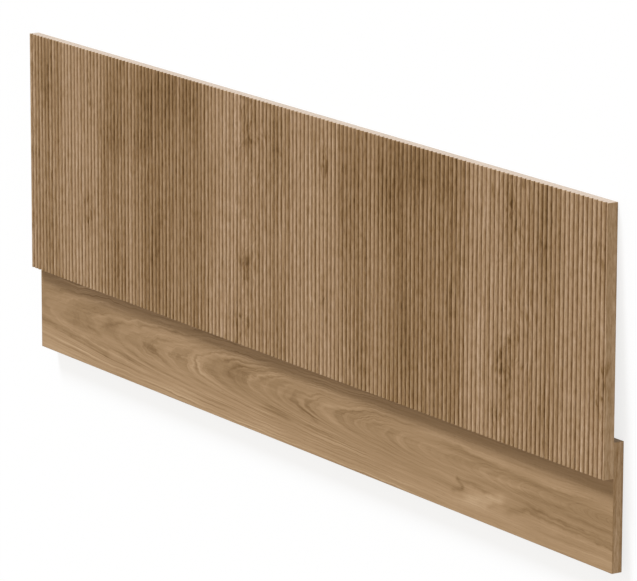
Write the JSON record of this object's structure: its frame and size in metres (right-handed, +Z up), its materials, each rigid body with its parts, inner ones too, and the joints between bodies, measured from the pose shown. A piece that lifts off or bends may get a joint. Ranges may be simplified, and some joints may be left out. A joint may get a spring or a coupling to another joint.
{
  "type": "bath panel",
  "caption": "Front bath panel of reeded wood-effect board with a flat, set-back plinth board screwed behind its lower edge, lying face up.",
  "frame": {"origin": "middle of the part's outline, on the floor it lies on", "axes": "+X along the boards' length, +Y towards the panel's rim edge, +Z up, out of the reeded face"},
  "size_m": [1.7, 0.561, 0.0387],
  "materials": {
    "fluted_board": "satin wood-effect foil with upright grain over board, pale top edge",
    "plinth_board": "satin wood-effect foil with flowing lengthwise grain over board",
    "screw_steel": "bright zinc-plated"
  },
  "bodies": {
    "root": {"fluted_panel": "fluted_board", "plinth": "plinth_board", "plinth_screw_1": "screw_steel", "plinth_screw_2": "screw_steel", "plinth_screw_3": "screw_steel", "plinth_screw_4": "screw_steel", "plinth_screw_5": "screw_steel"}
  },
  "joints": []
}
